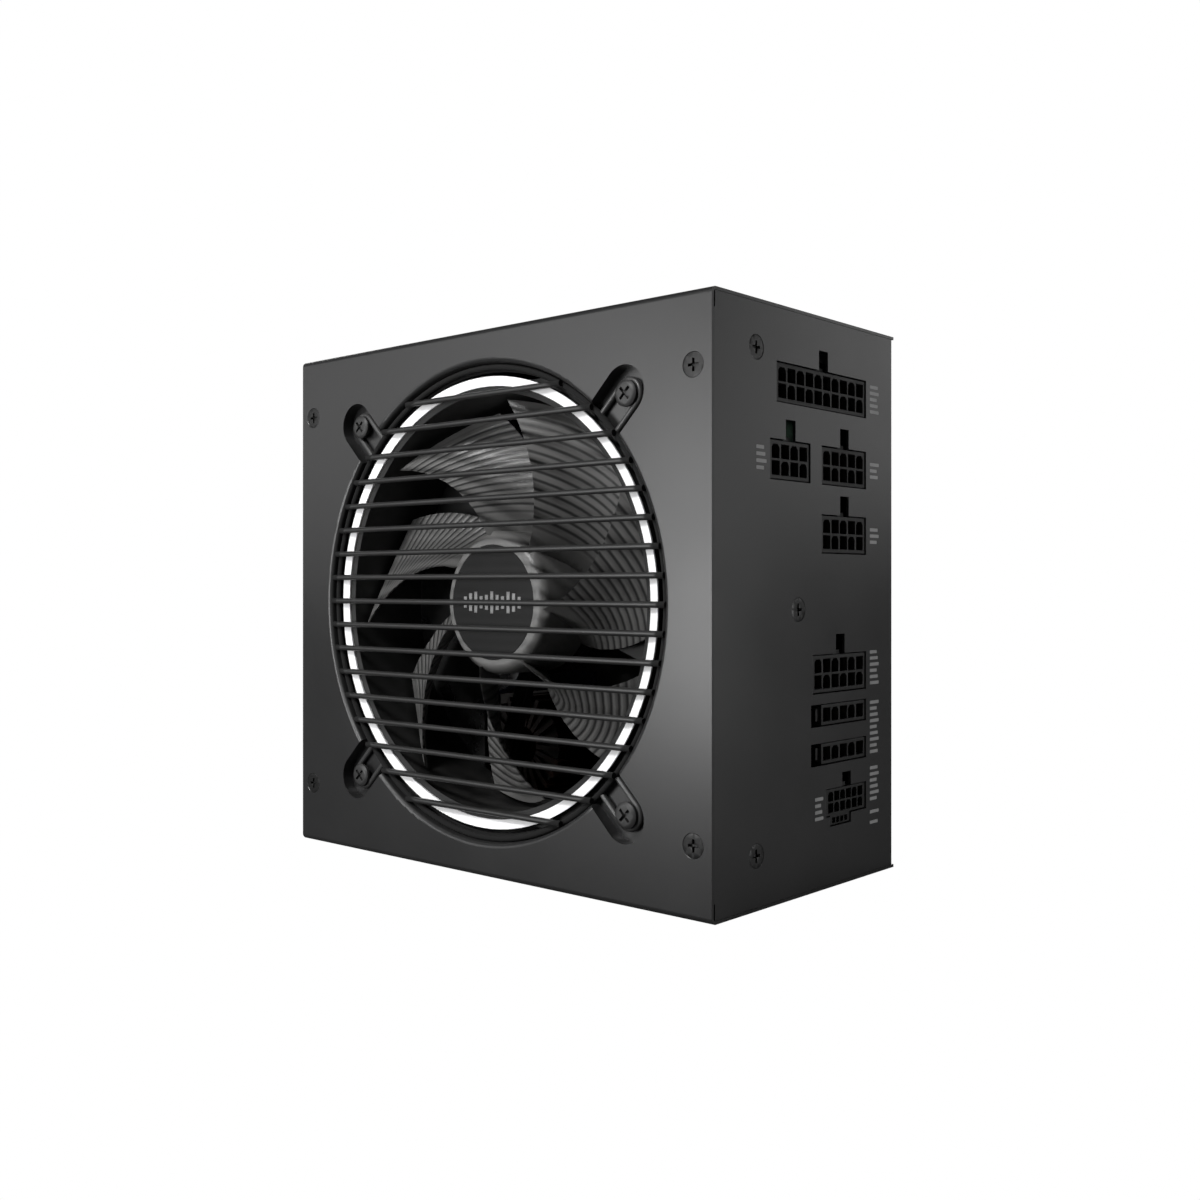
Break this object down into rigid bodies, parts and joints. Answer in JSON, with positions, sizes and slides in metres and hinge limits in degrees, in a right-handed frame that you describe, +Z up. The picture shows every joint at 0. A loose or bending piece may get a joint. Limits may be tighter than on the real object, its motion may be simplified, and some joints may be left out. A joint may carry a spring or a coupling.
{
  "type": "computer power supply",
  "caption": "Desktop power supply on its side: round wire-grille fan in a black steel case, sockets for separate cables on the narrow end, mains inlet and rocker switch on the other.",
  "frame": {"origin": "centre of the face that the housing stands on", "axes": "+X towards the socket panel, -X towards the mains panel, -Y towards the fan face, +Z up"},
  "size_m": [0.1646, 0.0862, 0.15],
  "materials": {
    "case_paint": "fine matte powder coat",
    "black_screw": "blackened steel",
    "grille_paint": "satin black",
    "bright_wire": "bright zinc",
    "trim_silver": "satin silver",
    "fan_plastic": "moulded",
    "hub_film": "printed film",
    "socket_plastic": "moulded",
    "pin_brass": "plated",
    "plated_steel": "nickel plated",
    "magnet_grey": "bonded ferrite",
    "copper": "enamelled copper",
    "core_powder": "painted powder core",
    "board_green": "solder mask",
    "board_tan": "bare laminate",
    "heatsink_metal": "extruded",
    "package_black": "moulded",
    "tape_yellow": "taped winding",
    "sleeve_dark": "shrink sleeve",
    "disc_blue": "dipped coating",
    "fuse_glass": "clear",
    "wire_sleeve": "insulation",
    "plug_white": "moulded nylon",
    "insulator": "film",
    "label_film": "printed film"
  },
  "bodies": {
    "housing": {"fan_cover": "case_paint", "base_tray": "case_paint", "cover_screws": "black_screw", "grille_bars": "grille_paint", "grille_ring": "grille_paint", "grille_loops": "bright_wire", "fan_screws": "black_screw", "inlet_trim_ring": "trim_silver", "fan_frame": "fan_plastic", "fan_bearing": "pin_brass", "stator": "copper", "fan_driver_board": "board_green", "air_guide": "insulator", "fan_lead": "wire_sleeve", "fan_lead_plug": "plug_white", "socket_board": "board_green", "socket_board_posts": "plated_steel", "socket_board_screws": "black_screw", "socket_mainboard": "socket_plastic", "socket_processor": "socket_plastic", "socket_upper": "socket_plastic", "socket_lower": "socket_plastic", "socket_graphics_wide": "socket_plastic", "socket_drives_upper": "socket_plastic", "socket_drives_lower": "socket_plastic", "socket_graphics_dense": "socket_plastic", "socket_pins": "pin_brass", "mains_inlet_shell": "socket_plastic", "mains_inlet_blades": "plated_steel", "mains_inlet_screws": "black_screw", "switch_shell": "socket_plastic", "switch_terminals": "plated_steel", "main_board": "board_tan", "board_posts": "plated_steel", "board_screws": "plated_steel", "insulating_sheet": "insulator", "primary_heatsink": "heatsink_metal", "secondary_heatsink": "heatsink_metal", "power_transistors": "package_black", "bridge_rectifier": "package_black", "main_transformer": "tape_yellow", "standby_transformer": "tape_yellow", "choke_cores": "core_powder", "choke_windings": "copper", "bulk_capacitor": "sleeve_dark", "output_capacitors": "sleeve_dark", "polymer_capacitors": "heatsink_metal", "film_capacitors": "tape_yellow", "disc_capacitors": "disc_blue", "fuse": "fuse_glass", "mains_wires": "wire_sleeve", "bus_bars": "copper", "control_board": "board_green", "rating_label": "label_film"},
    "fan_rotor": {"fan_impeller": "fan_plastic", "hub_disc": "hub_film", "rotor_can": "plated_steel", "rotor_magnet": "magnet_grey", "fan_shaft": "plated_steel"},
    "power_rocker": {"switch_rocker": "socket_plastic"}
  },
  "joints": [
    {"name": "fan_spin", "type": "hinge", "parent": "housing", "child": "fan_rotor", "pos_m": [0, -0.03, 0.075], "axis": [0, -1, 0], "continuous": true},
    {"name": "rocker_tilt", "type": "hinge", "parent": "housing", "child": "power_rocker", "pos_m": [-0.0786, -0.012, 0.116], "axis": [0, 1, 0], "range_deg": [0, 20]}
  ]
}
